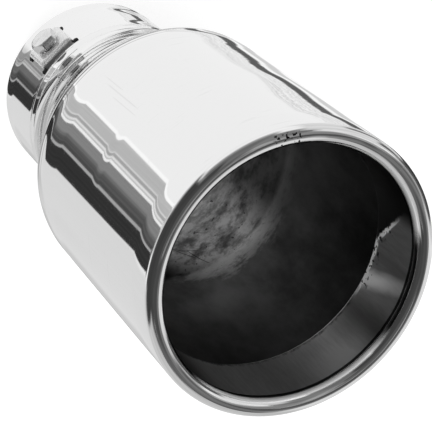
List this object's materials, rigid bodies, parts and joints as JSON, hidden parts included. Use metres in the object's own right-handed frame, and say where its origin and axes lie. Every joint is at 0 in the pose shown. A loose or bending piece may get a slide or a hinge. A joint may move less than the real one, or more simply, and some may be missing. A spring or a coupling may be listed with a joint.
{
  "type": "exhaust tip",
  "caption": "Round polished exhaust tip with a rolled mouth, a drawn shoulder and a narrower inlet sleeve clamped by a set screw.",
  "frame": {"origin": "centre of the inlet end, on the plane of the inlet rim", "axes": "+Z along the tip's axis from the inlet to the mouth; -Y through the nut and the set screw"},
  "size_m": [0.1016, 0.1016, 0.1889],
  "materials": {
    "polished_shell": "mirror polished stainless steel outside, satin inside",
    "polished_sleeve": "polished stainless steel",
    "nut_steel": "plain, with dark weld tacks at the corners",
    "screw_steel": "plain turned"
  },
  "bodies": {
    "tip": {"outer_shell": "polished_shell", "inlet_sleeve": "polished_sleeve", "square_nut": "nut_steel"},
    "screw": {"set_screw": "screw_steel"}
  },
  "joints": [
    {"name": "screw_travel", "type": "slide", "parent": "tip", "child": "screw", "axis": [0, 1, 0], "range_m": [-0.002, 0.0007]}
  ]
}
